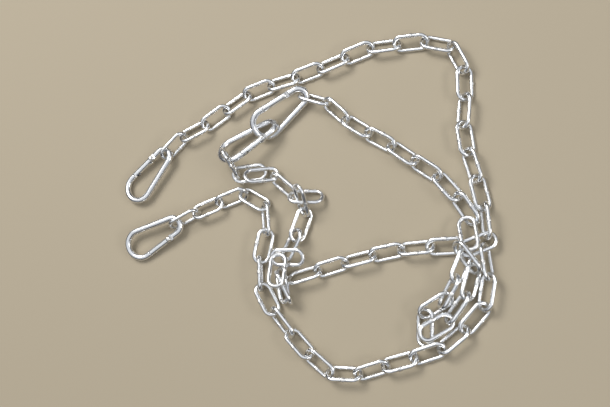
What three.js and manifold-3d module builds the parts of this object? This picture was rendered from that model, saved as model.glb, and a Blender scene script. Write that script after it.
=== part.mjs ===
// Swing chain set with snap hooks: one long-link steel chain with a pear-shaped snap hook on each end,
// a second pair of snap hooks clipped together part-way along it, laid down loosely on a flat floor.
// Millimetres, +Z up, floor at Z = 0. The origin is the middle of the set's footprint.
import * as THREE from 'three';
import { mergeVertices } from 'three/addons/utils/BufferGeometryUtils.js';
import Module from 'manifold-3d';

const wasm = await Module();
wasm.setup();

// ---------------------------------------------------------------- driving dimensions
const WIRE = 5; // chain wire diameter
const LINK_INNER_LENGTH = 36;
const LINK_INNER_WIDTH = 13;
const WIRE_SIDES = 6;
const CROWN_STATIONS = 5; // sections round each end of a link

const ROD = 8; // hook rod diameter, across its flats
const ROD_SIDES = 8;
const HOOK_LENGTH = 87;
const HOOK_WIDTH = 43;
const HOOK_EYE_WIDTH = 29; // outside width of the narrow end
const HOOK_STEPS = 40;

const RIVET_FROM_EYE = 14; // from the eye's tangent point, along the gate
const GATE_LENGTH = 31; // from the rivet to the latch end
const GATE_TAIL = 3.5; // past the rivet
const SHOULDER_GAP = 0.6;
const TONGUE = 3; // thickness of the flattened ends
const SLOT = 3.7; // the gate's slots that straddle them
const HINGE_TONGUE = 3.3; // past the rivet
const HINGE_SHOULDER = 6; // behind the rivet
const NOSE_LENGTH = 6.6;
const LATCH_SLOT = 7.4;
const LATCH_PIN_FROM_END = 3.3;
const LATCH_PIN_RADIUS = 0.9;
const NOTCH = 3;
const RIVET_RADIUS = 1.4;
const RIVET_HOLE_RADIUS = 1.85;
const RIVET_HEAD_RADIUS = 2.8;
const RIVET_HEAD = 1.2;
const BORE_RADIUS = 2;
const BORE_LENGTH = 13;
const SPRING_RADIUS = 1.3;
const SPRING_WIRE = 0.55;
const SPRING_TURNS = 5;
const FIT_GAP = 0.3;

const BEAD = 3.3; // radius of the bead that joins two links of a grouped stretch
const REST_STEP = 1.5; // most that a link lies below a steeper neighbour

// ---------------------------------------------------------------- derived dimensions
const CROWN = (LINK_INNER_WIDTH + WIRE) / 2; // centreline radius of a link's ends
const HALF_LEG = (LINK_INNER_LENGTH + WIRE) / 2 - CROWN;
const WIDE = (HOOK_WIDTH - ROD) / 2; // centreline radius of the hook's wide end
const EYE = (HOOK_EYE_WIDTH - ROD) / 2; // centreline radius of its narrow end
const HOOK_REACH = HOOK_LENGTH - WIDE - EYE - ROD; // between the two ends' centres
const TAPER = Math.asin((WIDE - EYE) / HOOK_REACH);
const HINGE_SWING = Math.hypot(HINGE_TONGUE, ROD / 2) + FIT_GAP; // cleared for the tongue's end

const degrees = THREE.MathUtils.degToRad;
const UP = new THREE.Vector3(0, 0, 1);

// ---------------------------------------------------------------- materials
function steel(color, roughness) {
  return new THREE.MeshStandardMaterial({ color, roughness, metalness: 1 });
}
const CHAIN_COLOR = 0xc9ced3;
const HOOK_COLOR = 0xc2c7cc;
const GATE_COLOR = 0xccd0d4;
const RIVET_COLOR = 0xd6d9dc;
const SPRING_COLOR = 0x9a9c9f;

// ---------------------------------------------------------------- solids
function toSolid(geometry) {
  const bare = geometry.clone();
  bare.deleteAttribute('normal');
  bare.deleteAttribute('uv');
  const merged = mergeVertices(bare, 1e-4);
  return new wasm.Manifold(new wasm.Mesh({
    numProp: 3,
    vertProperties: new Float32Array(merged.attributes.position.array),
    triVerts: new Uint32Array(merged.index.array),
  }));
}

function toGeometry(solid) {
  const mesh = solid.getMesh();
  const geometry = new THREE.BufferGeometry();
  geometry.setAttribute('position', new THREE.BufferAttribute(mesh.vertProperties, 3));
  geometry.setIndex(new THREE.BufferAttribute(mesh.triVerts, 1));
  geometry.computeVertexNormals();
  return geometry;
}

function block(x0, x1, y0, y1, z0, z1, frame) {
  const box = new THREE.BoxGeometry(x1 - x0, y1 - y0, z1 - z0);
  box.translate((x0 + x1) / 2, (y0 + y1) / 2, (z0 + z1) / 2);
  return toSolid(box.applyMatrix4(frame));
}

// A round bar along the frame's own Z, with flats square to its X and Y.
function bar(radius, length, sides, x, y, frame) {
  const cylinder = new THREE.CylinderGeometry(radius, radius, length, sides);
  cylinder.rotateY(Math.PI / sides);
  cylinder.rotateX(Math.PI / 2);
  cylinder.translate(x, y, 0);
  return toSolid(cylinder.applyMatrix4(frame));
}

// ---------------------------------------------------------------- chain links
// One link lying in its own XY plane, long way on X: a ring cut in half and pulled apart.
function makeLinkGeometry() {
  const stations = 2 * CROWN_STATIONS;
  const ring = new THREE.TorusGeometry(CROWN, WIRE / 2, WIRE_SIDES, stations);
  const points = ring.attributes.position;
  for (let i = 0; i < points.count; i++) {
    const station = (i % (stations + 1)) % stations;
    const end = station < CROWN_STATIONS ? 1 : -1;
    const along = (station % CROWN_STATIONS) / (CROWN_STATIONS - 1);
    const angle = Math.PI * (along - end / 2);
    const radius = Math.hypot(points.getX(i), points.getY(i));
    points.setXY(i, radius * Math.cos(angle) + end * HALF_LEG, radius * Math.sin(angle));
  }
  return ring;
}
const linkGeometry = makeLinkGeometry();

// The place of a link from one junction to the next. Its roll is about its own length.
function linkPlace(from, to, roll) {
  const along = to.clone().sub(from).normalize();
  const level = UP.clone().cross(along).normalize();
  const across = level.applyAxisAngle(along, degrees(roll));
  const place = new THREE.Matrix4().makeBasis(along, across, along.clone().cross(across));
  return place.setPosition(from.clone().add(to).multiplyScalar(0.5));
}

// Steps off equal chords along a smooth route, so that the last one ends at the route's end.
function stepOff(route, count) {
  const curve = new THREE.CatmullRomCurve3(route.map((p) => new THREE.Vector3(...p)), false, 'catmullrom', 0.5);
  const samples = curve.getPoints(400 * count);
  const walk = (chord) => {
    const stops = [samples[0]];
    for (const point of samples) {
      if (point.distanceTo(stops[stops.length - 1]) >= chord) stops.push(point);
    }
    return stops;
  };
  let low = LINK_INNER_LENGTH / 4;
  let high = 2 * LINK_INNER_LENGTH;
  while (high - low > 0.001) {
    const middle = (low + high) / 2;
    if (walk(middle).length > count) low = middle;
    else high = middle;
  }
  return walk(low).slice(0, count + 1);
}

// A link lies on the floor unless a steeper neighbour holds its end up.
function settle(rolls) {
  const heights = rolls.map((roll) => WIRE / 2 + CROWN * Math.abs(Math.sin(degrees(roll))));
  for (let i = 1; i < heights.length; i++) {
    heights[i] = Math.max(heights[i], heights[i - 1] - REST_STEP);
  }
  for (let i = heights.length - 2; i >= 0; i--) {
    heights[i] = Math.max(heights[i], heights[i + 1] - REST_STEP);
  }
  return heights;
}

// A strand's route gives how far its centreline runs above a link at rest.
function strandPlaces({ route, rolls }) {
  const stops = stepOff(route, rolls.length);
  const heights = settle(rolls);
  return rolls.map((roll, i) => {
    const lift = new THREE.Vector3(0, 0, heights[i]);
    return linkPlace(stops[i].clone().add(lift), stops[i + 1].clone().add(lift), roll);
  });
}

function tanglePlaces({ links }) {
  return links.map(([from, to, roll]) => linkPlace(new THREE.Vector3(...from), new THREE.Vector3(...to), roll));
}

function linkLine(place) {
  const path = new THREE.Path();
  path.absarc(HALF_LEG, 0, CROWN, -Math.PI / 2, Math.PI / 2, false);
  path.absarc(-HALF_LEG, 0, CROWN, Math.PI / 2, 1.5 * Math.PI, false);
  path.closePath();
  return path.getSpacedPoints(60).map((p) => new THREE.Vector3(p.x, p.y, 0).applyMatrix4(place));
}

// Where a link comes closest to any of some others.
function meetingPoint(place, others) {
  const line = linkLine(place);
  let nearest = Infinity;
  const meeting = new THREE.Vector3();
  for (const other of others) {
    for (const a of linkLine(other)) {
      for (const b of line) {
        const distance = a.distanceTo(b);
        if (distance < nearest) {
          nearest = distance;
          meeting.lerpVectors(a, b, 0.5);
        }
      }
    }
  }
  return meeting;
}

// A grouped stretch is one solid: its links, with a bead where each one meets those before it.
function makeStretch(places) {
  const solids = places.map((place) => toSolid(linkGeometry.clone().applyMatrix4(place)));
  for (let i = 1; i < places.length; i++) {
    const meeting = meetingPoint(places[i], places.slice(0, i));
    const bead = new THREE.IcosahedronGeometry(BEAD, 0).translate(meeting.x, meeting.y, meeting.z);
    solids.push(toSolid(bead));
  }
  return wasm.Manifold.union(solids);
}

// ---------------------------------------------------------------- routes
// Each route is [x, y, height above rest], one link to each roll angle.
const STRANDS = {
  // from hook A round the top to the knot
  t: {
    route: [[-195, 79, 0], [-172, 101, 0], [-141, 114, 0], [-112, 132, 0], [-84, 149, 0], [-50, 159, 0],
      [-15, 166, 0], [18, 175, 0], [52, 186, 0], [86, 195, 0], [121, 194, 0], [155, 193, 0],
      [184, 179, 0], [193, 148, 0], [192, 115, 0], [189, 86, 0], [193, 54, 0], [202, 21, 0],
      [209, -12, 0], [211.5, -45.5, 0]],
    rolls: [62, -25, 42, -28, 45, -30, 51, -30, 42, -33, 42, -30, 45, -32, 40, -35, 42, -35, 60],
  },
  // from hook B round the bottom to the knot
  b: {
    route: [[-180, -13.5, 0], [-151, 0, 0], [-119, 11, 0], [-88, 22, 0], [-60, 10, 0], [-53, -21, 0],
      [-60, -52, 0], [-62.5, -87.5, 0], [-48.5, -119, 0], [-27, -147, 0], [-4, -172, 0], [19, -195, 0],
      [49, -201, 0], [81, -193, 0], [115, -183, 0], [148, -176, 0], [178, -154, 0], [203, -130, 0],
      [212, -96, 0], [208, -58.8, 0]],
    rolls: [75, -15, 50, -30, 51, -22, 78, -30, 50, -40, 32, -41, 45, -31, 37, -38, 35, -33, 68],
  },
};

// The stretches that never leave the tangle, each one grouped.
const STRETCHES = {
  // from hook C towards the knot
  c: {
    route: [[-8, 141, 0], [21, 131, 0], [46, 107, 0], [75, 86, 0], [105, 67, 0], [131, 47, 0],
      [157, 28, 0], [179, 1, 0]],
    rolls: [-57, 48, -39, 38, -40, 38, -38],
  },
  // from the pile towards the knot
  m: {
    route: [[-22, -87, 0], [10, -79, 0], [44, -70, 0], [77, -63, 0], [112, -57, 0], [147, -55, 0]],
    rolls: [-40, 42, -41, 42, -38],
  },
};
const TANGLES = {
  // from hook D down to the pile, each link [from, to, roll]
  n: {
    links: [[[-101.7, 70.1, 35.3], [-92.5, 46.6, 12.5], 83],
      [[-94.2, 45.1, 12.1], [-60.8, 48.8, 6.7], 11], [[-73.8, 40, 23.7], [-43.1, 43.9, 9.8], -22],
      [[-43.7, 39.2, 11.9], [-18.4, 16.5, 10.2], 49], [[-19.9, 12.9, 13.4], [13.4, 11.9, 6.6], -32],
      [[-6.7, 19.3, 29.8], [-5.8, -6.8, 8], 44], [[-3.6, -6, 9.1], [-15.4, -37.8, 10.2], -37],
      [[-13, -31.9, 12.8], [-30.3, -60.4, 6.3], 32], [[-41.7, -60.9, 15.4], [-7.8, -62.6, 17.3], 16]],
  },
  pile: {
    links: [[[-34, -61.5, 20.2], [-34.7, -93.9, 30.4], -9],
      [[-37.2, -82.7, 16.3], [-22.3, -113.1, 13.3], 73],
      [[-28.6, -110.8, 12.3], [-36.7, -78, 7.9], -37]],
  },
  knot: {
    links: [[[179.3, 1.3, 9.5], [197.1, -27.7, 7.3], 36],
      [[188.6, -27.3, 12.1], [194.2, -59.2, 22.5], -2], [[185.4, -60.9, 12.6], [217.1, -49.3, 8.8], -3],
      [[188.6, -63.1, 12.5], [175.5, -94.2, 17.2], -51],
      [[198.9, -85.1, 18.6], [179.9, -57.4, 23.3], -51], [[146.3, -55.5, 7.5], [180.3, -54.9, 6.2], 27]],
  },
  tail: {
    links: [[[175.6, -93.5, 17.4], [158.3, -122.4, 12.6], 54],
      [[165.3, -113.7, 8.6], [136.4, -131.3, 11.3], -42], [[138.9, -130, 8.8], [137.2, -163.9, 6.6], 20],
      [[137.9, -155.3, 19.7], [166.1, -138.9, 10.1], 12],
      [[165.3, -138.9, 10.3], [186.2, -112.2, 13.8], -53],
      [[186.8, -113.8, 13.5], [196.4, -81.2, 11.9], 49]],
  },
};

// ---------------------------------------------------------------- snap hooks
// In a hook's own frame the wide end's centre is the origin, the eye is on +X and the gate is on +Y.
class PlanarCurve extends THREE.Curve {
  constructor(path) {
    super();
    this.path = path;
  }

  getPoint(t) {
    const p = this.path.getPointAt(t);
    return new THREE.Vector3(p.x, p.y, 0);
  }
}

// The gate's frame: the rivet is its origin, +X runs to the latch and +Y points out of the hook.
function makeGateFrame() {
  const toLatch = new THREE.Vector3(-Math.cos(TAPER), Math.sin(TAPER), 0);
  const outward = new THREE.Vector3(Math.sin(TAPER), Math.cos(TAPER), 0);
  const rivet = new THREE.Vector3(HOOK_REACH, 0, 0);
  rivet.addScaledVector(outward, EYE).addScaledVector(toLatch, RIVET_FROM_EYE);
  return new THREE.Matrix4().makeBasis(toLatch, outward, UP.clone().negate()).setPosition(rivet);
}
const gateFrame = makeGateFrame();

function rodSection() {
  const corner = ROD / 2 / Math.cos(Math.PI / ROD_SIDES);
  const section = new THREE.Shape();
  for (let i = 0; i < ROD_SIDES; i++) {
    const angle = (2 * Math.PI * (i + 0.5)) / ROD_SIDES;
    if (i === 0) section.moveTo(corner * Math.cos(angle), corner * Math.sin(angle));
    else section.lineTo(corner * Math.cos(angle), corner * Math.sin(angle));
  }
  return section;
}

function makeHookBody() {
  const rim = Math.PI / 2 - TAPER;
  const gatePoint = (x) => new THREE.Vector3(x, 0, 0).applyMatrix4(gateFrame);
  const nose = gatePoint(GATE_LENGTH + SHOULDER_GAP - NOSE_LENGTH);
  const hingeEnd = gatePoint(HINGE_TONGUE);
  const path = new THREE.Path();
  path.moveTo(nose.x, nose.y);
  path.lineTo(WIDE * Math.cos(rim), WIDE * Math.sin(rim));
  path.absarc(0, 0, WIDE, rim, 2 * Math.PI - rim, false);
  path.lineTo(HOOK_REACH + EYE * Math.cos(rim), -EYE * Math.sin(rim));
  path.absarc(HOOK_REACH, 0, EYE, -rim, rim, false);
  path.lineTo(hingeEnd.x, hingeEnd.y);
  const rod = new THREE.ExtrudeGeometry(rodSection(), {
    steps: HOOK_STEPS, extrudePath: new PlanarCurve(path), curveSegments: 1,
  });
  let solid = toSolid(rod);
  // the two ends are flattened from both sides into tongues
  const latchShoulder = GATE_LENGTH + SHOULDER_GAP;
  for (const side of [-1, 1]) {
    const low = side < 0 ? -ROD : TONGUE / 2;
    const high = side < 0 ? -TONGUE / 2 : ROD;
    solid = solid.subtract(block(-HINGE_SHOULDER, GATE_LENGTH / 2, -ROD, ROD, low, high, gateFrame));
    solid = solid.subtract(block(GATE_LENGTH / 2, latchShoulder, -ROD, ROD, low, high, gateFrame));
  }
  // the nose has a notch, open to the inside, that the gate's cross pin rests in
  const pin = GATE_LENGTH - LATCH_PIN_FROM_END;
  const notchTop = LATCH_PIN_RADIUS + FIT_GAP;
  solid = solid.subtract(block(pin - NOTCH / 2, pin + NOTCH / 2, -ROD, notchTop, -ROD, ROD, gateFrame));
  return solid.subtract(bar(RIVET_HOLE_RADIUS, 2 * ROD, ROD_SIDES, 0, 0, gateFrame));
}

function makeGate() {
  const corner = ROD / 2 / Math.cos(Math.PI / ROD_SIDES);
  const length = GATE_LENGTH + GATE_TAIL;
  const rod = new THREE.CylinderGeometry(corner, corner, length, ROD_SIDES);
  rod.rotateY(Math.PI / ROD_SIDES);
  rod.rotateZ(Math.PI / 2);
  rod.translate(GATE_LENGTH - length / 2, 0, 0);
  let solid = toSolid(rod.applyMatrix4(gateFrame));
  solid = solid.subtract(block(-ROD, HINGE_SWING, -ROD, ROD, -SLOT / 2, SLOT / 2, gateFrame));
  const latchSlotStart = GATE_LENGTH - LATCH_SLOT;
  solid = solid.subtract(block(latchSlotStart, GATE_LENGTH + ROD, -ROD, ROD, -SLOT / 2, SLOT / 2, gateFrame));
  const bore = new THREE.CylinderGeometry(BORE_RADIUS, BORE_RADIUS, BORE_LENGTH, ROD_SIDES);
  bore.rotateZ(Math.PI / 2);
  bore.translate(HINGE_TONGUE + BORE_LENGTH / 2, 0, 0);
  solid = solid.subtract(toSolid(bore.applyMatrix4(gateFrame)));
  solid = solid.subtract(bar(RIVET_HOLE_RADIUS, 2 * ROD, ROD_SIDES, 0, 0, gateFrame));
  const pinHeight = ROD - 2 * FIT_GAP;
  const pin = GATE_LENGTH - LATCH_PIN_FROM_END;
  return solid.add(bar(LATCH_PIN_RADIUS, pinHeight, WIRE_SIDES, pin, 0, gateFrame));
}

function makeRivet() {
  const under = ROD / 2 + FIT_GAP;
  const top = under + RIVET_HEAD;
  const profile = [[0, -top], [RIVET_HEAD_RADIUS, -top], [RIVET_HEAD_RADIUS, -under],
    [RIVET_RADIUS, -under], [RIVET_RADIUS, under], [RIVET_HEAD_RADIUS, under],
    [RIVET_HEAD_RADIUS, top], [0, top]];
  const lathe = new THREE.LatheGeometry(profile.map(([r, z]) => new THREE.Vector2(r, z)), ROD_SIDES);
  lathe.rotateX(Math.PI / 2);
  return toSolid(lathe.applyMatrix4(gateFrame));
}

class SpringLine extends THREE.Curve {
  getPoint(t) {
    const angle = 2 * Math.PI * SPRING_TURNS * t;
    const start = HINGE_SWING + 2 * FIT_GAP;
    const length = BORE_LENGTH + HINGE_TONGUE - start - 2 * FIT_GAP;
    return new THREE.Vector3(start + length * t, SPRING_RADIUS * Math.cos(angle), SPRING_RADIUS * Math.sin(angle));
  }
}

function makeSpring() {
  const half = SPRING_WIRE / 2;
  const section = new THREE.Shape();
  section.moveTo(-half, -half);
  section.lineTo(half, -half);
  section.lineTo(half, half);
  section.lineTo(-half, half);
  const coil = new THREE.ExtrudeGeometry(section, {
    steps: 7 * SPRING_TURNS, extrudePath: new SpringLine(), curveSegments: 1,
  });
  return toSolid(coil.applyMatrix4(gateFrame));
}

const hookParts = {
  body: { geometry: toGeometry(makeHookBody()), color: HOOK_COLOR, roughness: 0.28 },
  gate: { geometry: toGeometry(makeGate()), color: GATE_COLOR, roughness: 0.26 },
  rivet: { geometry: toGeometry(makeRivet()), color: RIVET_COLOR, roughness: 0.3 },
  spring: { geometry: toGeometry(makeSpring()), color: SPRING_COLOR, roughness: 0.4 },
};

// Where each hook lies: the wide end's centre, the eye's centre, and its roll about that line.
// At a roll of 0 the gate is on the left, looking from the wide end to the eye; at 180 it is turned over.
const HOOKS = {
  a: { wide: [-233.4, 39.9, 7.5], eye: [-198.8, 77.2, 10.3], roll: -4.5 },
  b: { wide: [-227.8, -35.3, 8.4], eye: [-181.3, -14.6, 10.9], roll: 192.2 },
  c: { wide: [-53.2, 108.7, 14.2], eye: [-11.9, 138.6, 13.6], roll: 34 },
  d: { wide: [-96.2, 76.6, 19.1], eye: [-53.1, 102.8, 11.8], roll: 152.2 },
};

function hookPlace({ wide, eye, roll }) {
  const from = new THREE.Vector3(...wide);
  const along = new THREE.Vector3(...eye).sub(from).normalize();
  const level = UP.clone().cross(along).normalize();
  const across = level.applyAxisAngle(along, degrees(roll));
  return new THREE.Matrix4().makeBasis(along, across, along.clone().cross(across)).setPosition(from);
}

// ---------------------------------------------------------------- the set
const group = new THREE.Group();
const layout = new THREE.Group();
group.add(layout);

function addMesh(parent, name, geometry, material) {
  const mesh = new THREE.Mesh(geometry, material);
  mesh.name = name;
  parent.add(mesh);
  return mesh;
}

for (const [strand, plan] of Object.entries(STRANDS)) {
  const chain = new THREE.Group();
  strandPlaces(plan).forEach((place, i) => {
    const name = `${strand}_link_${String(i + 1).padStart(2, '0')}`;
    const link = addMesh(chain, name, toGeometry(toSolid(linkGeometry)), steel(CHAIN_COLOR, 0.25));
    link.applyMatrix4(place);
  });
  layout.add(chain);
}

const grouped = new THREE.Group();
for (const [stretch, plan] of Object.entries({ ...STRETCHES, ...TANGLES })) {
  const places = plan.links ? tanglePlaces(plan) : strandPlaces(plan);
  addMesh(grouped, `${stretch}_links`, toGeometry(makeStretch(places)), steel(CHAIN_COLOR, 0.25));
}
layout.add(grouped);

for (const [letter, plan] of Object.entries(HOOKS)) {
  const hook = new THREE.Group();
  for (const [piece, { geometry, color, roughness }] of Object.entries(hookParts)) {
    addMesh(hook, `hook_${letter}_${piece}`, geometry, steel(color, roughness));
  }
  hook.applyMatrix4(hookPlace(plan));
  layout.add(hook);
}

// the middle of the footprint goes to the origin
const bounds = new THREE.Box3().setFromObject(layout, true);
const middle = bounds.getCenter(new THREE.Vector3());
layout.position.set(-middle.x, -middle.y, 0);
layout.updateMatrixWorld(true);

export default group;
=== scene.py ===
"""Looks for the swing chain set: zinc-plated long-link chain and four pear-shaped snap hooks.

Metres, +Z up, in the CAD model's own frame. The chain's layout repeats the CAD layout, and one link's
box in the frame gives the offset between the two."""

import math
import random

import bmesh
import bpy
import numpy as np
from mathutils import Matrix, Vector


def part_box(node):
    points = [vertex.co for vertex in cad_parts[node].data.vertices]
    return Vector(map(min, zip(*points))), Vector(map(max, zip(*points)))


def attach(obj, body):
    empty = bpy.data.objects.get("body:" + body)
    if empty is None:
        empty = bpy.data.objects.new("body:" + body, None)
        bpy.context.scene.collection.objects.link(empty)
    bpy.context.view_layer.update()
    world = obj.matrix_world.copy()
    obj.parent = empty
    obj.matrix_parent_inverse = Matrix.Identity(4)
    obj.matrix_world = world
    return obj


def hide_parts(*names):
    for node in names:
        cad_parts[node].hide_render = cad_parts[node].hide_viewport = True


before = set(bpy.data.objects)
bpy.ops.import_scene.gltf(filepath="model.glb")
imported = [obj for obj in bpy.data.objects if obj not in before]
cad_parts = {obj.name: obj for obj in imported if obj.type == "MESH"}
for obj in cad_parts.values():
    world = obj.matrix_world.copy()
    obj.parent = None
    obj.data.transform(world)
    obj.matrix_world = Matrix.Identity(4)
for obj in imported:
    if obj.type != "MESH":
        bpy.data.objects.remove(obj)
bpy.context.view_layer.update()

UP = Vector((0, 0, 1))

# ---------------------------------------------------------------- driving dimensions
WIRE = 0.005
LINK_INNER_LENGTH = 0.036
LINK_INNER_WIDTH = 0.013
CROWN = (LINK_INNER_WIDTH + WIRE) / 2
HALF_LEG = (LINK_INNER_LENGTH + WIRE) / 2 - CROWN
REST_STEP = 0.0015  # most that a link lies below a steeper neighbour

ROD = 0.008
HOOK_LENGTH = 0.087
HOOK_WIDTH = 0.043
HOOK_EYE_WIDTH = 0.029
WIDE = (HOOK_WIDTH - ROD) / 2  # centreline radius of a hook's wide end
EYE = (HOOK_EYE_WIDTH - ROD) / 2  # centreline radius of its eye
HOOK_REACH = HOOK_LENGTH - WIDE - EYE - ROD
TAPER = math.asin((WIDE - EYE) / HOOK_REACH)
RIVET_FROM_EYE = 0.014
GATE_LENGTH = 0.031
GATE_TAIL = 0.0035
SHOULDER_GAP = 0.0006
TONGUE = 0.003
SLOT = 0.0037
HINGE_TONGUE = 0.0033
HINGE_SHOULDER = 0.006
NOSE_LENGTH = 0.0066
LATCH_SLOT = 0.0074
LATCH_PIN_FROM_END = 0.0033
LATCH_PIN_RADIUS = 0.0009
NOTCH = 0.003
RIVET_HOLE_RADIUS = 0.00185
RIVET_SHANK_RADIUS = 0.0014
RIVET_HEAD_RADIUS = 0.0028
RIVET_HEAD_FOOT = 0.0029  # heights above the middle of the gate
RIVET_HEAD_BASE = 0.0042
RIVET_HEAD_HEIGHT = 0.0012  # how far a head stands above the rod and its gap
PIN_HEAD_RADIUS = 0.0013
PIN_HEAD_FOOT = 0.0036
PIN_HEAD_BASE = 0.0040
PIN_HEAD_TOP = 0.00425
BORE_RADIUS = 0.002
BORE_LENGTH = 0.013
SPRING_RADIUS = 0.0013
SPRING_WIRE = 0.00055
SPRING_TURNS = 5
FIT_GAP = 0.0003
HINGE_SWING = math.hypot(HINGE_TONGUE, ROD / 2) + FIT_GAP

# ---------------------------------------------------------------- the layout, as the CAD model has it
# Strands: the line on the floor that a strand follows, and one roll angle to each link.
STRANDS = {
    "t": {
        "route": [(-0.195, 0.079), (-0.172, 0.101), (-0.141, 0.114), (-0.112, 0.132), (-0.084, 0.149),
                  (-0.05, 0.159), (-0.015, 0.166), (0.018, 0.175), (0.052, 0.186), (0.086, 0.195),
                  (0.121, 0.194), (0.155, 0.193), (0.184, 0.179), (0.193, 0.148), (0.192, 0.115),
                  (0.189, 0.086), (0.193, 0.054), (0.202, 0.021), (0.209, -0.012), (0.2115, -0.0455)],
        "rolls": [62, -25, 42, -28, 45, -30, 51, -30, 42, -33, 42, -30, 45, -32, 40, -35, 42, -35, 60],
    },
    "b": {
        "route": [(-0.18, -0.0135), (-0.151, 0.0), (-0.119, 0.011), (-0.088, 0.022), (-0.06, 0.01),
                  (-0.053, -0.021), (-0.06, -0.052), (-0.0625, -0.0875), (-0.0485, -0.119),
                  (-0.027, -0.147), (-0.004, -0.172), (0.019, -0.195), (0.049, -0.201), (0.081, -0.193),
                  (0.115, -0.183), (0.148, -0.176), (0.178, -0.154), (0.203, -0.13), (0.212, -0.096),
                  (0.208, -0.0588)],
        "rolls": [75, -15, 50, -30, 51, -22, 78, -30, 50, -40, 32, -41, 45, -31, 37, -38, 35, -33, 68],
    },
    "c": {
        "route": [(-0.008, 0.141), (0.021, 0.131), (0.046, 0.107), (0.075, 0.086), (0.105, 0.067),
                  (0.131, 0.047), (0.157, 0.028), (0.179, 0.001)],
        "rolls": [-57, 48, -39, 38, -40, 38, -38],
    },
    "m": {
        "route": [(-0.022, -0.087), (0.01, -0.079), (0.044, -0.07), (0.077, -0.063), (0.112, -0.057),
                  (0.147, -0.055)],
        "rolls": [-40, 42, -41, 42, -38],
    },
}
# Links of the tangle, one by one: from, to, roll.
TANGLES = {
    "n": [((-0.1017, 0.0701, 0.0353), (-0.0925, 0.0466, 0.0125), 83),
          ((-0.0942, 0.0451, 0.0121), (-0.0608, 0.0488, 0.0067), 11),
          ((-0.0738, 0.04, 0.0237), (-0.0431, 0.0439, 0.0098), -22),
          ((-0.0437, 0.0392, 0.0119), (-0.0184, 0.0165, 0.0102), 49),
          ((-0.0199, 0.0129, 0.0134), (0.0134, 0.0119, 0.0066), -32),
          ((-0.0067, 0.0193, 0.0298), (-0.0058, -0.0068, 0.008), 44),
          ((-0.0036, -0.006, 0.0091), (-0.0154, -0.0378, 0.0102), -37),
          ((-0.013, -0.0319, 0.0128), (-0.0303, -0.0604, 0.0063), 32),
          ((-0.0417, -0.0609, 0.0154), (-0.0078, -0.0626, 0.0173), 16)],
    "pile": [((-0.034, -0.0615, 0.0202), (-0.0347, -0.0939, 0.0304), -9),
             ((-0.0372, -0.0827, 0.0163), (-0.0223, -0.1131, 0.0133), 73),
             ((-0.0286, -0.1108, 0.0123), (-0.0367, -0.078, 0.0079), -37)],
    "knot": [((0.1793, 0.0013, 0.0095), (0.1971, -0.0277, 0.0073), 36),
             ((0.1886, -0.0273, 0.0121), (0.1942, -0.0592, 0.0225), -2),
             ((0.1854, -0.0609, 0.0126), (0.2171, -0.0493, 0.0088), -3),
             ((0.1886, -0.0631, 0.0125), (0.1755, -0.0942, 0.0172), -51),
             ((0.1989, -0.0851, 0.0186), (0.1799, -0.0574, 0.0233), -51),
             ((0.1463, -0.0555, 0.0075), (0.1803, -0.0549, 0.0062), 27)],
    "tail": [((0.1756, -0.0935, 0.0174), (0.1583, -0.1224, 0.0126), 54),
             ((0.1653, -0.1137, 0.0086), (0.1364, -0.1313, 0.0113), -42),
             ((0.1389, -0.13, 0.0088), (0.1372, -0.1639, 0.0066), 20),
             ((0.1379, -0.1553, 0.0197), (0.1661, -0.1389, 0.0101), 12),
             ((0.1653, -0.1389, 0.0103), (0.1862, -0.1122, 0.0138), -53),
             ((0.1868, -0.1138, 0.0135), (0.1964, -0.0812, 0.0119), 49)],
}
# Snap hooks: the wide end's centre, the eye's centre, the roll about that line, and the hook's CAD body.
HOOKS = {
    "a": ((-0.2334, 0.0399, 0.0075), (-0.1988, 0.0772, 0.0103), -4.5, "hook_a"),
    "b": ((-0.2278, -0.0353, 0.0084), (-0.1813, -0.0146, 0.0109), 192.2, "hook_b"),
    "c": ((-0.0532, 0.1087, 0.0142), (-0.0119, 0.1386, 0.0136), 34, "tangle"),
    "d": ((-0.0962, 0.0766, 0.0191), (-0.0531, 0.1028, 0.0118), 152.2, "tangle"),
}


def place_along(start, end, roll, origin):
    """A frame with X from start to end, rolled about it, and its origin at origin."""
    along = (end - start).normalized()
    across = UP.cross(along).normalized()
    across.rotate(Matrix.Rotation(math.radians(roll), 3, along))
    facing = along.cross(across)
    turn = Matrix((along, across, facing)).transposed()
    return Matrix.Translation(origin) @ turn.to_4x4()


def link_place(start, end, roll):
    start, end = Vector(start), Vector(end)
    return place_along(start, end, roll, (start + end) / 2)


def smooth_route(route, count):
    """Points close together on the Catmull-Rom curve through the route's points."""
    given = np.array(route)
    padded = np.vstack([2 * given[0] - given[1], given, 2 * given[-1] - given[-2]])
    at = np.linspace(0, len(given) - 1, 400 * count + 1)
    span = np.minimum(at.astype(int), len(given) - 2)
    t = (at - span)[:, None]
    before, first, second, after = (padded[span + k] for k in range(4))
    leave, arrive = (second - before) / 2, (after - first) / 2
    bend = 3 * (second - first) - 2 * leave - arrive
    twist = 2 * (first - second) + leave + arrive
    return first + leave * t + bend * t**2 + twist * t**3


def step_off(route, count):
    """Equal chords along a smooth route, the last of which ends at the route's end."""
    line = smooth_route(route, count)

    def walk(chord):
        stops = [0]
        while True:
            away = np.linalg.norm(line[stops[-1]:] - line[stops[-1]], axis=1)
            far = np.argmax(away >= chord)
            if far == 0:
                return stops
            stops.append(stops[-1] + far)

    low, high = LINK_INNER_LENGTH / 4, 2 * LINK_INNER_LENGTH
    while high - low > 1e-6:
        middle = (low + high) / 2
        if len(walk(middle)) > count:
            low = middle
        else:
            high = middle
    return [Vector((*line[i], 0)) for i in walk(low)[: count + 1]]


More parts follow.
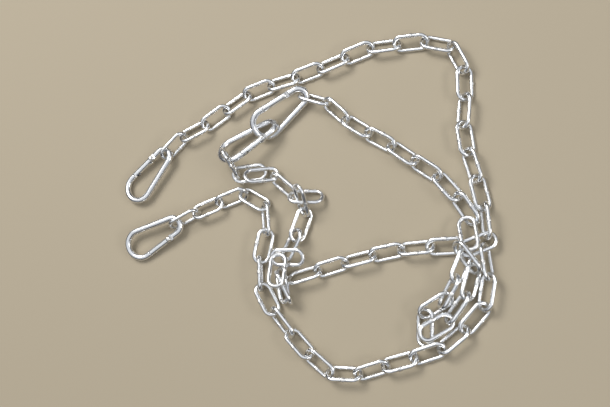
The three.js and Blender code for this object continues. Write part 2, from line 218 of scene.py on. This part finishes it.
def settle(rolls):
    """How high each link's centre lies: on the floor, unless a steeper neighbour holds its end up."""
    heights = [WIRE / 2 + CROWN * abs(math.sin(math.radians(roll))) for roll in rolls]
    for i in range(1, len(heights)):
        heights[i] = max(heights[i], heights[i - 1] - REST_STEP)
    for i in reversed(range(len(heights) - 1)):
        heights[i] = max(heights[i], heights[i + 1] - REST_STEP)
    return heights


def strand_places(route, rolls):
    stops = step_off(route, len(rolls))
    return [
        link_place(stops[i] + UP * height, stops[i + 1] + UP * height, rolls[i])
        for i, height in enumerate(settle(rolls))
    ]


places = {strand: strand_places(**plan) for strand, plan in STRANDS.items()}
for tangle, links in TANGLES.items():
    places[tangle] = [link_place(*link) for link in links]

# the CAD model is centred on its footprint, and this moves the layout with it
first_low, first_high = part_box("t_link_01")
SHIFT = Matrix.Translation((first_low + first_high) / 2 - places["t"][0].translation)

# ---------------------------------------------------------------- camera
CAMERA_PLACE = SHIFT @ Vector((0.3112, -0.1901, 0.9701))
CAMERA_LOOK = Vector((-0.3067, 0.1887, -0.9329))
CAMERA_UP = Vector((0.0589, 0.9820, 0.1792))


def add_camera():
    data = bpy.data.cameras.new("camera")
    data.lens = 50
    data.sensor_width = 36
    camera = bpy.data.objects.new("camera", data)
    back = -CAMERA_LOOK.normalized()
    right = CAMERA_UP.cross(back).normalized()
    turn = Matrix((right, back.cross(right), back)).transposed()
    camera.matrix_world = Matrix.Translation(CAMERA_PLACE) @ turn.to_4x4()
    bpy.context.scene.collection.objects.link(camera)
    bpy.context.scene.camera = camera


add_camera()


# ---------------------------------------------------------------- materials
def new_material(name):
    material = bpy.data.materials.new(name)
    material.use_nodes = True
    nodes = material.node_tree.nodes
    return material, nodes, material.node_tree.links, nodes["Principled BSDF"]


def attribute(nodes, name):
    node = nodes.new("ShaderNodeAttribute")
    node.attribute_name = name
    return node.outputs


def noise(nodes, links, scale, detail=3.0, stretch=(1, 1, 1)):
    """A noise texture's value, in the piece's own coordinates, different on each piece."""
    texture = nodes.new("ShaderNodeTexNoise")
    texture.noise_dimensions = "4D"
    texture.inputs["Scale"].default_value = scale
    texture.inputs["Detail"].default_value = detail
    spread = nodes.new("ShaderNodeMath")
    spread.operation = "MULTIPLY"
    spread.inputs[1].default_value = 50
    links.new(nodes.new("ShaderNodeObjectInfo").outputs["Random"], spread.inputs[0])
    links.new(spread.outputs[0], texture.inputs["W"])
    mapping = nodes.new("ShaderNodeMapping")
    mapping.inputs["Scale"].default_value = stretch
    links.new(attribute(nodes, "own")["Vector"], mapping.inputs["Vector"])
    links.new(mapping.outputs["Vector"], texture.inputs["Vector"])
    return texture.outputs["Fac"]


def ramp(nodes, links, value, stops):
    """Maps a value through colour stops, each (position, colour or grey)."""
    node = nodes.new("ShaderNodeValToRGB")
    elements = node.color_ramp.elements
    while len(elements) < len(stops):
        elements.new(0.5)
    for element, (position, colour) in zip(elements, stops):
        grey = isinstance(colour, float)
        element.position = position
        element.color = (colour,) * 3 + (1,) if grey else (*colour, 1)
    links.new(value, node.inputs["Fac"])
    return node.outputs["Color"]


def mix(nodes, links, kind, factor, a, b):
    """Mixes two colours. The factor and each colour may be a socket or a plain value."""
    node = nodes.new("ShaderNodeMix")
    node.data_type = "RGBA"
    node.blend_type = kind
    for socket, value in ((node.inputs[0], factor), (node.inputs[6], a), (node.inputs[7], b)):
        if isinstance(value, bpy.types.NodeSocket):
            links.new(value, socket)
        elif isinstance(value, tuple):
            socket.default_value = (*value, 1)
        else:
            socket.default_value = value
    return node.outputs[2]


def zinc(name, bright, dull, smooth, rough, scratches):
    """Bright zinc plating: a cloudy tint, fine pits, scratches, and duller metal where "worked" is high."""
    material, nodes, links, shader = new_material(name)
    shader.inputs["Metallic"].default_value = 1
    worked = attribute(nodes, "worked")["Fac"]
    clouds = noise(nodes, links, 110)
    grain = noise(nodes, links, 1400, 4)
    lines = noise(nodes, links, 330, 2, stretch=(1, 8, 8))
    tint = ramp(nodes, links, clouds, [(0.34, dull), (0.60, bright)])
    scratched = ramp(nodes, links, lines, [(0.56, 0.0), (0.74, scratches)])
    tint = mix(nodes, links, "MULTIPLY", scratched, tint, (0.60, 0.60, 0.59))
    tint = mix(nodes, links, "MULTIPLY", worked, tint, (0.78, 0.76, 0.73))
    links.new(tint, shader.inputs["Base Color"])
    gloss = ramp(nodes, links, clouds, [(0.3, rough), (0.65, smooth)])
    gloss = mix(nodes, links, "MIX", worked, gloss, (0.42, 0.42, 0.42))
    links.new(gloss, shader.inputs["Roughness"])
    bump = nodes.new("ShaderNodeBump")
    bump.inputs["Strength"].default_value = 0.35
    bump.inputs["Distance"].default_value = 0.00003
    links.new(mix(nodes, links, "MIX", 0.5, grain, lines), bump.inputs["Height"])
    links.new(bump.outputs["Normal"], shader.inputs["Normal"])
    return material


chain_zinc = zinc("chain_zinc", (0.93, 0.94, 0.95), (0.80, 0.82, 0.85), 0.17, 0.30, 0.45)
hook_zinc = zinc("hook_zinc", (0.90, 0.91, 0.93), (0.77, 0.79, 0.82), 0.20, 0.34, 0.35)
gate_zinc = zinc("gate_zinc", (0.93, 0.94, 0.95), (0.82, 0.84, 0.86), 0.18, 0.28, 0.35)
rivet_steel = zinc("rivet_steel", (0.95, 0.95, 0.94), (0.84, 0.84, 0.83), 0.22, 0.36, 0.3)
spring_steel = zinc("spring_steel", (0.60, 0.60, 0.60), (0.45, 0.45, 0.46), 0.25, 0.40, 0.2)


# ---------------------------------------------------------------- meshes
def finish_mesh(mesh, sharp=None):
    mesh.validate()
    mesh.shade_smooth()
    if sharp is not None:
        mesh.set_sharp_from_angle(angle=math.radians(sharp))
    return mesh


def skin(name, rings, closed, worked=None):
    """A mesh through rings of points, one ring to the next. An open one gets flat ends."""
    count = len(rings[0])
    points = [p for ring in rings for p in ring]
    faces = []
    for i in range(len(rings) - (0 if closed else 1)):
        here, there = i * count, (i + 1) % len(rings) * count
        for k in range(count):
            after = (k + 1) % count
            faces.append((here + k, here + after, there + after, there + k))
    if not closed:
        faces.append(tuple(reversed(range(count))))
        faces.append(tuple(range(len(points) - count, len(points))))
    mesh = bpy.data.meshes.new(name)
    mesh.from_pydata(points, [], faces)
    values = worked or [0.0] * len(rings)
    attribute = mesh.attributes.new("worked", "FLOAT", "POINT")
    attribute.data.foreach_set("value", [values[i // count] for i in range(len(points))])
    work = bmesh.new()
    work.from_mesh(mesh)
    bmesh.ops.recalc_face_normals(work, faces=work.faces)
    work.to_mesh(mesh)
    work.free()
    return mesh


# ---------------------------------------------------------------- chain links
WIRE_SIDES = 28
CROWN_STEPS = 22
LEG_STEPS = 44
WELD_SWELL = 0.00042  # how far the weld's bead stands proud
WELD_LENGTH = 0.0021
WELD_WANDER = 0.003  # how far a weld may lie from the middle of its leg
FLASH_FROM_WELD = 0.0013  # two small ridges, one on each side of the bead
FLASH_WIDTH = 0.0004
OUT_OF_ROUND = 0.00004  # a slight waviness of the wire
LINK_VARIANTS = 6


def link_line():
    """The wire's centreline in the link's own plane: (x, y, inward-facing angle), once round."""
    line = []
    for end in (1, -1):
        for i in range(CROWN_STEPS):
            angle = math.pi * (i / CROWN_STEPS - end / 2)
            line.append((end * HALF_LEG + CROWN * math.cos(angle), CROWN * math.sin(angle), angle))
        for i in range(LEG_STEPS):
            x = end * HALF_LEG * (1 - 2 * i / LEG_STEPS)
            line.append((x, end * CROWN, end * math.pi / 2))
    return line


def make_link(name, rng):
    """A bent round wire, butt-welded near the middle of one leg."""
    weld_at = rng.uniform(-WELD_WANDER, WELD_WANDER)
    swell = WELD_SWELL * rng.uniform(0.75, 1.25)
    lean = rng.uniform(-0.6, 0.6)
    phases = [rng.uniform(0, 2 * math.pi) for _ in range(6)]
    rings, worked = [], []
    for x, y, angle in link_line():
        on_weld_leg = y > CROWN * 0.98
        away = x - weld_at
        bead = math.exp(-((away / WELD_LENGTH) ** 2)) if on_weld_leg else 0.0
        flash = math.exp(-(((abs(away) - FLASH_FROM_WELD) / FLASH_WIDTH) ** 2)) if on_weld_leg else 0.0
        ring = []
        for k in range(WIRE_SIDES):
            turn = 2 * math.pi * k / WIRE_SIDES
            lumps = sum(math.sin((n + 2) * turn + p + 900 * n * away) for n, p in enumerate(phases[:3]))
            radius = WIRE / 2 + bead * swell * (1 + 0.22 * lumps + lean * math.cos(turn))
            radius += flash * swell * 0.30 * (1 + 0.4 * math.sin(3 * turn + phases[3]))
            radius += OUT_OF_ROUND * math.sin(2 * turn + phases[4] + 90 * x)
            out = radius * math.cos(turn)
            ring.append((x + out * math.cos(angle), y + out * math.sin(angle), radius * math.sin(turn)))
        rings.append(ring)
        rub = max(0.0, abs(x) - HALF_LEG - 0.8 * CROWN) / (0.2 * CROWN)
        worked.append(min(1.0, max(bead, 0.35 * rub)))
    return finish_mesh(skin(name, rings, True, worked))


rng = random.Random(7)
link_meshes = [make_link(f"link_{i}", rng) for i in range(LINK_VARIANTS)]
TURNS = [Matrix.Rotation(math.radians(180) * half, 4, axis) for axis in "XZ" for half in (0, 1)]


def add_piece(name, mesh, material, place, body, slot, *nodes):
    """A copy of the mesh, at its place, for the CAD nodes that it stands for."""
    mesh = mesh.copy()
    own = mesh.attributes.new("own", "FLOAT_VECTOR", "POINT")
    own.data.foreach_set("vector", [x for vertex in mesh.vertices for x in vertex.co])
    mesh.transform(place)
    mesh.materials.append(material)
    piece = bpy.data.objects.new(name, mesh)
    bpy.context.scene.collection.objects.link(piece)
    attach(piece, body)
    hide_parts(*nodes)
    return piece


def add_links():
    for strand, strand_links in places.items():
        single = strand in ("t", "b")
        for i, place in enumerate(strand_links):
            node = f"{strand}_link_{i + 1:02d}" if single else f"{strand}_links"
            body = node if single else "tangle"
            turned = SHIFT @ place @ rng.choice(TURNS)
            name = f"{strand}_wire_{i + 1:02d}"
            add_piece(name, rng.choice(link_meshes), chain_zinc, turned, body, "chain_steel", node)


add_links()


# ---------------------------------------------------------------- snap hooks
# In a hook's own frame the wide end's centre is the origin, the eye is on +X and the gate is on +Y.
ROD_SIDES = 32
ROD_STEP = 0.0005
SHOULDER = 0.0005  # length of the slope from round rod to tongue
CORNER = 0.0022  # rounding of a tongue's free end
EDGE_ANGLE = 38  # degrees, above which an edge of a body or gate is sharp
PIN_EDGE_ANGLE = 40
DOME_TIP = 0.02  # a dome's small flat top, as a share of its radius

to_latch = Vector((-math.cos(TAPER), math.sin(TAPER), 0))
outward = Vector((math.sin(TAPER), math.cos(TAPER), 0))
rivet_place = Vector((HOOK_REACH, 0, 0)) + outward * EYE + to_latch * RIVET_FROM_EYE
# the gate's frame: the rivet is its origin, +X runs to the latch and +Y points out of the hook
GATE_FRAME = Matrix.Translation(rivet_place) @ Matrix((to_latch, outward, -UP)).transposed().to_4x4()


def straight(start, end):
    count = max(2, round((end - start).length / ROD_STEP))
    facing = (end - start).normalized()
    return [(start.lerp(end, i / count), facing) for i in range(count)]


def arc(centre, radius, start, end):
    count = max(2, round(radius * abs(end - start) / ROD_STEP))
    line = []
    for i in range(count):
        angle = start + (end - start) * i / count
        out = Vector((math.cos(angle), math.sin(angle), 0))
        line.append((centre + out * radius, UP.cross(out)))
    return line


def hook_line():
    """The rod's centreline from the nose round the wide end, the spine and the eye to the hinge."""
    rim = math.pi / 2 - TAPER
    rim_out = Vector((math.cos(rim), math.sin(rim), 0))
    spine_out = Vector((math.cos(rim), -math.sin(rim), 0))
    eye_centre = Vector((HOOK_REACH, 0, 0))
    nose = GATE_FRAME @ Vector((GATE_LENGTH + SHOULDER_GAP - NOSE_LENGTH, 0, 0))
    hinge_end = GATE_FRAME @ Vector((HINGE_TONGUE, 0, 0))
    line = straight(nose, rim_out * WIDE)
    line += arc(Vector(), WIDE, rim, 2 * math.pi - rim)
    line += straight(spine_out * WIDE, eye_centre + spine_out * EYE)
    line += arc(eye_centre, EYE, -rim, rim)
    line += straight(eye_centre + rim_out * EYE, hinge_end)
    line.append((hinge_end, (hinge_end - eye_centre - rim_out * EYE).normalized()))
    return line


def free_end(distance):
    """Share of the full width at a distance from a tongue's free end, whose corners are round."""
    short = max(0.0, CORNER - distance)
    return 1 - (CORNER - math.sqrt(max(0.0, CORNER**2 - short**2))) / (ROD / 2)


def make_hook_body():
    line = hook_line()
    points = [p for p, _ in line]
    run = [0.0]
    for a, b in zip(points, points[1:]):
        run.append(run[-1] + (b - a).length)
    hinge_length = HINGE_SHOULDER + HINGE_TONGUE
    rings, worked = [], []
    for (point, facing), s in zip(line, run):
        side = facing.cross(UP)
        from_hinge = run[-1] - s
        shoulder = min(s - NOSE_LENGTH, from_hinge - hinge_length)
        open_share = min(1.0, max(0.0, shoulder / SHOULDER))
        half = TONGUE / 2 + (ROD / 2 - TONGUE / 2) * open_share
        width = ROD / 2 * free_end(min(s, from_hinge))
        ring = []
        for k in range(ROD_SIDES):
            turn = 2 * math.pi * k / ROD_SIDES
            height = max(-half, min(half, ROD / 2 * math.sin(turn)))
            ring.append(point + side * (width * math.cos(turn)) + UP * height)
        rings.append(ring)
        worked.append(0.6 * (1 - open_share))
    mesh = skin("hook_body", rings, False, worked)
    pin = GATE_LENGTH - LATCH_PIN_FROM_END
    notch_top = LATCH_PIN_RADIUS + FIT_GAP
    cut(mesh, block(pin - NOTCH / 2, pin + NOTCH / 2, -ROD, notch_top, -ROD, ROD))
    cut(mesh, bar(RIVET_HOLE_RADIUS, 2 * ROD, 0))
    return finish_mesh(mesh, EDGE_ANGLE)


def solid(work):
    mesh = bpy.data.meshes.new("solid")
    bmesh.ops.recalc_face_normals(work, faces=work.faces)
    work.to_mesh(mesh)
    work.free()
    mesh.transform(GATE_FRAME)
    return mesh


def block(x0, x1, y0, y1, z0, z1):
    """A box in the gate's frame."""
    work = bmesh.new()
    size = Matrix.Diagonal((x1 - x0, y1 - y0, z1 - z0, 1))
    centre = Matrix.Translation(((x0 + x1) / 2, (y0 + y1) / 2, (z0 + z1) / 2))
    bmesh.ops.create_cube(work, size=1, matrix=centre @ size)
    return solid(work)


def bar(radius, length, x, turn=None):
    """A round bar in the gate's frame, along its Z unless turned, centred at x."""
    work = bmesh.new()
    place = Matrix.Translation((x, 0, 0)) @ (turn or Matrix())
    bmesh.ops.create_cone(work, cap_ends=True, segments=ROD_SIDES, radius1=radius, radius2=radius,
                          depth=length, matrix=place)
    return solid(work)


def cut(mesh, tool):
    """Takes tool out of mesh, and throws tool away."""
    target = bpy.data.objects.new("target", mesh)
    cutter = bpy.data.objects.new("cutter", tool)
    for o in (target, cutter):
        bpy.context.scene.collection.objects.link(o)
    modifier = target.modifiers.new("cut", "BOOLEAN")
    modifier.operation = "DIFFERENCE"
    modifier.solver = "EXACT"
    modifier.object = cutter
    bpy.context.view_layer.update()
    result = bpy.data.meshes.new_from_object(target.evaluated_get(bpy.context.evaluated_depsgraph_get()))
    work = bmesh.new()
    work.from_mesh(result)
    bmesh.ops.remove_doubles(work, verts=work.verts, dist=1e-7)
    work.to_mesh(mesh)
    work.free()
    for o in (target, cutter):
        bpy.data.objects.remove(o)
    bpy.data.meshes.remove(tool)
    bpy.data.meshes.remove(result)


def lathe(name, profile, sides=ROD_SIDES):
    """A solid of revolution about the frame's Z. The profile is (radius, z), from the bottom up."""
    rings = []
    for radius, z in profile:
        turns = [2 * math.pi * k / sides for k in range(sides)]
        rings.append([(radius * math.cos(t), radius * math.sin(t), z) for t in turns])
    return skin(name, rings, False)


def make_gate():
    """A round bar, slotted at both ends to straddle the tongues, bored for the spring and holed for the
    rivet.
    """
    radius = ROD / 2
    rounding = [(radius - CORNER + CORNER * math.sin(a), -GATE_TAIL + CORNER - CORNER * math.cos(a))
                for a in (math.radians(90) * i / 8 for i in range(9))]
    edge = 0.0003
    steps = 40
    middle = [(radius, z) for z in np.linspace(-GATE_TAIL + CORNER, GATE_LENGTH - edge, steps)[1:]]
    mesh = lathe("gate", [*rounding, *middle, (radius - edge, GATE_LENGTH)])
    lay = Matrix.Rotation(math.radians(90), 4, "Y")
    mesh.transform(GATE_FRAME @ lay)
    cut(mesh, block(-ROD, HINGE_SWING, -ROD, ROD, -SLOT / 2, SLOT / 2))
    cut(mesh, block(GATE_LENGTH - LATCH_SLOT, GATE_LENGTH + ROD, -ROD, ROD, -SLOT / 2, SLOT / 2))
    cut(mesh, bar(BORE_RADIUS, BORE_LENGTH, HINGE_TONGUE + BORE_LENGTH / 2, lay))
    cut(mesh, bar(RIVET_HOLE_RADIUS, 2 * ROD, 0))
    return finish_mesh(mesh, EDGE_ANGLE)


def dome(radius, base, top, foot, count=8):
    """Half a rivet's profile: a short skirt from foot up to base, and a dome from there to top."""
    curve = [(radius * math.cos(a), base + (top - base) * math.sin(a))
             for a in (math.radians(90) * i / count for i in range(count))]
    return [(radius, foot), *curve, (radius * DOME_TIP, top)]


def headed_pin(name, shank, profile):
    """A pin with the same head on both ends. The profile is the upper head's."""
    lower = [(r, -z) for r, z in reversed(profile)]
    mesh = lathe(name, [*lower, (shank, -profile[0][1]), (shank, profile[0][1]), *profile])
    mesh.transform(GATE_FRAME)
    return finish_mesh(mesh, PIN_EDGE_ANGLE)


def make_spring():
    """The gate's coil spring, in its bore."""
    start = HINGE_SWING + 2 * FIT_GAP
    length = BORE_LENGTH + HINGE_TONGUE - start - 2 * FIT_GAP
    steps, sides = 24 * SPRING_TURNS, 10
    rings = []
    for i in range(steps + 1):
        angle = 2 * math.pi * SPRING_TURNS * i / steps
        out = Vector((0, math.cos(angle), math.sin(angle)))
        centre = out * SPRING_RADIUS + Vector((start + length * i / steps, 0, 0))
        rings.append([centre + (out * math.cos(t) + Vector((1, 0, 0)) * math.sin(t)) * SPRING_WIRE / 2
                      for t in (2 * math.pi * k / sides for k in range(sides))])
    mesh = skin("spring", rings, False)
    mesh.transform(GATE_FRAME)
    return finish_mesh(mesh)


HEAD_TOP = ROD / 2 + FIT_GAP + RIVET_HEAD_HEIGHT
rivet_head = dome(RIVET_HEAD_RADIUS, RIVET_HEAD_BASE, HEAD_TOP, RIVET_HEAD_FOOT)
pin_head = dome(PIN_HEAD_RADIUS, PIN_HEAD_BASE, PIN_HEAD_TOP, PIN_HEAD_FOOT)
hook_meshes = {
    "body": make_hook_body(),
    "gate": make_gate(),
    "rivet": headed_pin("rivet", RIVET_SHANK_RADIUS, rivet_head),
    "latch_pin": headed_pin("latch_pin", LATCH_PIN_RADIUS, pin_head),
    "spring": make_spring(),
}


def add_hook(letter, wide, eye, roll, body):
    wide, eye = Vector(wide), Vector(eye)
    place = SHIFT @ place_along(wide, eye, roll, wide)
    gate_body = f"hook_{letter}_gate"
    pieces = [
        ("body", hook_zinc, body, "hook_steel", "body"),
        ("rivet", rivet_steel, body, "rivet_steel", "rivet"),
        ("gate", gate_zinc, gate_body, "gate_steel", "gate"),
        ("latch_pin", rivet_steel, gate_body, "gate_steel", "gate"),
        ("spring", spring_steel, gate_body, "spring_steel", "spring"),
    ]
    for piece, material, rides, slot, node in pieces:
        name = f"snap_{letter}_{piece}"
        add_piece(name, hook_meshes[piece], material, place, rides, slot, f"hook_{letter}_{node}")


for letter, plan in HOOKS.items():
    add_hook(letter, *plan)


# ---------------------------------------------------------------- floor and light
FLOOR_WIDTH = 6.0
FLOOR_COLOUR = (0.38, 0.325, 0.235, 1)
FLOOR_ROUGHNESS = 0.7


def add_floor():
    material, _, _, shader = new_material("floor_paint")
    shader.inputs["Base Color"].default_value = FLOOR_COLOUR
    shader.inputs["Roughness"].default_value = FLOOR_ROUGHNESS
    mesh = bpy.data.meshes.new("floor")
    half = FLOOR_WIDTH / 2
    corners = [(-half, -half, 0), (half, -half, 0), (half, half, 0), (-half, half, 0)]
    mesh.from_pydata(corners, [], [(0, 1, 2, 3)])
    mesh.materials.append(material)
    floor = bpy.data.objects.new("floor", mesh)
    bpy.context.scene.collection.objects.link(floor)


def add_area(name, place, aim, size, power, colour=(1, 1, 1)):
    data = bpy.data.lights.new(name, "AREA")
    data.shape = "RECTANGLE"
    data.size, data.size_y = size
    data.energy = power
    data.color = colour
    light = bpy.data.objects.new(name, data)
    light.location = place
    light.rotation_mode = "QUATERNION"
    light.rotation_quaternion = (Vector(aim) - Vector(place)).to_track_quat("-Z", "Y")
    bpy.context.scene.collection.objects.link(light)


def add_world(zenith, horizon):
    """A soft overhead light that fades towards the horizon."""
    world = bpy.data.worlds.new("studio")
    world.use_nodes = True
    nodes, links = world.node_tree.nodes, world.node_tree.links
    split = nodes.new("ShaderNodeSeparateXYZ")
    links.new(nodes.new("ShaderNodeTexCoord").outputs["Generated"], split.inputs[0])
    fade = ramp(nodes, links, split.outputs["Z"], [(0.35, horizon), (0.80, zenith)])
    links.new(fade, nodes["Background"].inputs["Color"])
    bpy.context.scene.world = world


add_floor()
add_world(zenith=(0.80, 0.82, 0.85), horizon=(0.03, 0.03, 0.035))
add_area("key", (-1.2, 1.5, 2.6), (0, 0, 0), (1.5, 1.5), 72, (1, 0.98, 0.95))
add_area("fill", (1.9, -0.4, 1.3), (0, 0, 0), (1.2, 0.4), 12)
bpy.context.scene.view_settings.view_transform = "Standard"
